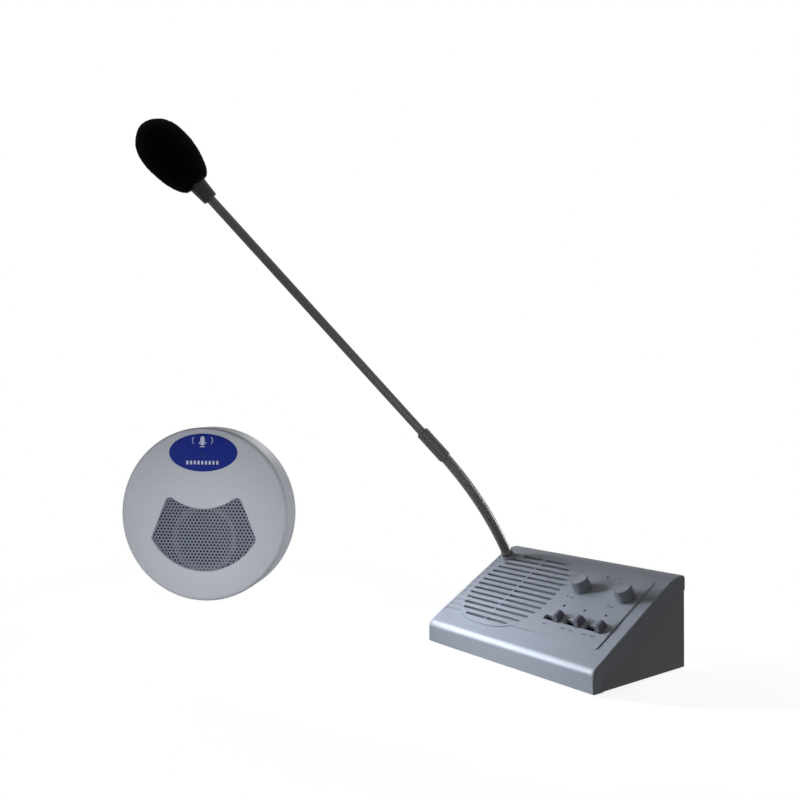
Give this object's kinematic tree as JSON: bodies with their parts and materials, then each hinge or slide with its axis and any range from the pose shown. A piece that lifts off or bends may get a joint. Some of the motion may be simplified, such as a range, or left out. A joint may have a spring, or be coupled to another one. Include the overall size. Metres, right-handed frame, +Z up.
{
  "type": "teller window intercom",
  "caption": "Sloped desk console with slotted speaker grille, knobs, slide switches and a long gooseneck microphone, with a separate round window speaker unit.",
  "frame": {"origin": "centre of the console's flat underside, 2 mm above the desk that its rubber feet stand on", "axes": "+Z up, +X to the console's right, -Y towards the teller who faces its sloped panel"},
  "size_m": [0.5886, 0.3709, 0.4791],
  "materials": {
    "case_plastic": "silver-grey painted moulding",
    "base_plastic": "dark grey moulding",
    "foot_rubber": "black rubber",
    "screw_steel": "zinc plated",
    "screen_cloth": "black acoustic cloth",
    "basket_steel": "black pressed steel",
    "cone_paper": "black paper",
    "magnet_ferrite": "ferrite and steel plates",
    "pot_metal": "plated sheet",
    "shaft_metal": "turned steel",
    "knob_silver": "silver moulding",
    "switch_plastic": "black moulding",
    "lever_silver": "grey moulding",
    "board_green": "green solder mask",
    "sink_aluminium": "extruded",
    "can_sleeve": "sleeved cans",
    "lamp_lens": "unlit dark lens",
    "neck_black": "black spiral steel",
    "ferrule_dark": "dark grey turned metal",
    "tube_dark": "dark grey painted tube",
    "collar_grey": "grey moulding",
    "capsule_metal": "turned can",
    "foam_black": "black open-cell foam",
    "badge_blue": "blue printed badge",
    "mesh_metal": "grey perforated sheet",
    "socket_black": "black moulding",
    "terminal_green": "green moulding"
  },
  "bodies": {
    "console": {"console_top_shell": "case_plastic", "console_base_shell": "base_plastic", "rubber_feet": "foot_rubber", "base_screws": "screw_steel", "speaker_screen": "screen_cloth", "speaker_screws": "screw_steel", "speaker_frame": "basket_steel", "speaker_cone": "cone_paper", "speaker_magnet": "magnet_ferrite", "pot_nuts": "screw_steel", "pot_case_inside": "pot_metal", "pot_case_outside": "pot_metal", "switch_case_1": "switch_plastic", "switch_case_2": "switch_plastic", "switch_case_3": "switch_plastic", "control_board": "board_green", "control_board_screws": "screw_steel", "main_board": "board_green", "main_board_screws": "screw_steel", "heat_sink": "sink_aluminium", "capacitors": "can_sleeve", "power_lamp": "lamp_lens", "mode_lamps": "lamp_lens", "neck_collar": "neck_black", "neck_nut": "screw_steel", "power_socket": "socket_black", "window_unit_socket": "socket_black", "line_out_socket": "socket_black"},
    "knob_inside_turn": {"knob_inside": "knob_silver", "pot_shaft_inside": "shaft_metal"},
    "knob_outside_turn": {"knob_outside": "knob_silver", "pot_shaft_outside": "shaft_metal"},
    "lever_1": {"switch_lever_1": "lever_silver"},
    "lever_2": {"switch_lever_2": "lever_silver"},
    "lever_3": {"switch_lever_3": "lever_silver"},
    "link_1": {"neck_link_1": "neck_black"},
    "link_2": {"neck_link_2": "neck_black"},
    "link_3": {"neck_link_3": "neck_black"},
    "link_4": {"neck_link_4": "neck_black"},
    "link_5": {"neck_link_5": "neck_black"},
    "mic_head": {"neck_ferrule": "ferrule_dark", "mic_tube": "tube_dark", "mic_collar": "collar_grey", "mic_capsule": "capsule_metal"},
    "windscreen": {"foam_windscreen": "foam_black"},
    "window_unit": {"window_front_shell": "case_plastic", "window_back_plate": "case_plastic", "window_badge": "badge_blue", "window_mesh": "mesh_metal", "window_gasket": "foot_rubber", "window_case_screws": "screw_steel", "window_mic_boot": "foot_rubber", "window_mic_capsule": "capsule_metal", "window_terminals": "terminal_green", "window_speaker_frame": "basket_steel", "window_speaker_cone": "cone_paper", "window_speaker_magnet": "magnet_ferrite"}
  },
  "joints": [
    {"name": "volume_inside", "type": "hinge", "parent": "console", "child": "knob_inside_turn", "pos_m": [0.0265, 0.01336, 0.05966], "axis": [0, -0.4956, 0.8685], "range_deg": [-150, 150]},
    {"name": "volume_outside", "type": "hinge", "parent": "console", "child": "knob_outside_turn", "pos_m": [0.0735, 0.01336, 0.05966], "axis": [0, -0.4956, 0.8685], "range_deg": [-150, 150]},
    {"name": "switch_slide_1", "type": "slide", "parent": "console", "child": "lever_1", "axis": [1, 0, 0], "range_m": [-0.0124, 0]},
    {"name": "switch_slide_2", "type": "slide", "parent": "console", "child": "lever_2", "axis": [1, 0, 0], "range_m": [-0.0124, 0]},
    {"name": "switch_slide_3", "type": "slide", "parent": "console", "child": "lever_3", "axis": [1, 0, 0], "range_m": [-0.0124, 0]},
    {"name": "neck_bend_1", "type": "hinge", "parent": "console", "child": "link_1", "pos_m": [-0.0849, 0.02522, 0.08347], "axis": [0.9992, -0.0216, 0.035], "range_deg": [-13, 13]},
    {"name": "neck_sway_1", "type": "hinge", "parent": "link_1", "child": "link_2", "pos_m": [-0.08576, 0.01422, 0.10133], "axis": [0, 0.8332, 0.5529], "range_deg": [-13, 13]},
    {"name": "neck_bend_2", "type": "hinge", "parent": "link_2", "child": "link_3", "pos_m": [-0.08749, 0.00265, 0.11877], "axis": [0.9924, -0.0714, 0.1001], "range_deg": [-13, 13]},
    {"name": "neck_sway_2", "type": "hinge", "parent": "link_3", "child": "link_4", "pos_m": [-0.09007, -0.00946, 0.13574], "axis": [0, 0.7936, 0.6085], "range_deg": [-13, 13]},
    {"name": "neck_bend_3", "type": "hinge", "parent": "link_4", "child": "link_5", "pos_m": [-0.09351, -0.02207, 0.15218], "axis": [0.9791, -0.1293, 0.1571], "range_deg": [-13, 13]},
    {"name": "neck_sway_3", "type": "hinge", "parent": "link_5", "child": "mic_head", "pos_m": [-0.09778, -0.03514, 0.16805], "axis": [0, 0.749, 0.6626], "range_deg": [-13, 13]},
    {"name": "windscreen_pull", "type": "slide", "parent": "mic_head", "child": "windscreen", "axis": [-0.2429, -0.6427, 0.7266], "range_m": [0, 0.06]},
    {"name": "window_unit_lift", "type": "slide", "parent": "console", "child": "window_unit", "axis": [0, 0, 1], "range_m": [0, 0.15]}
  ]
}
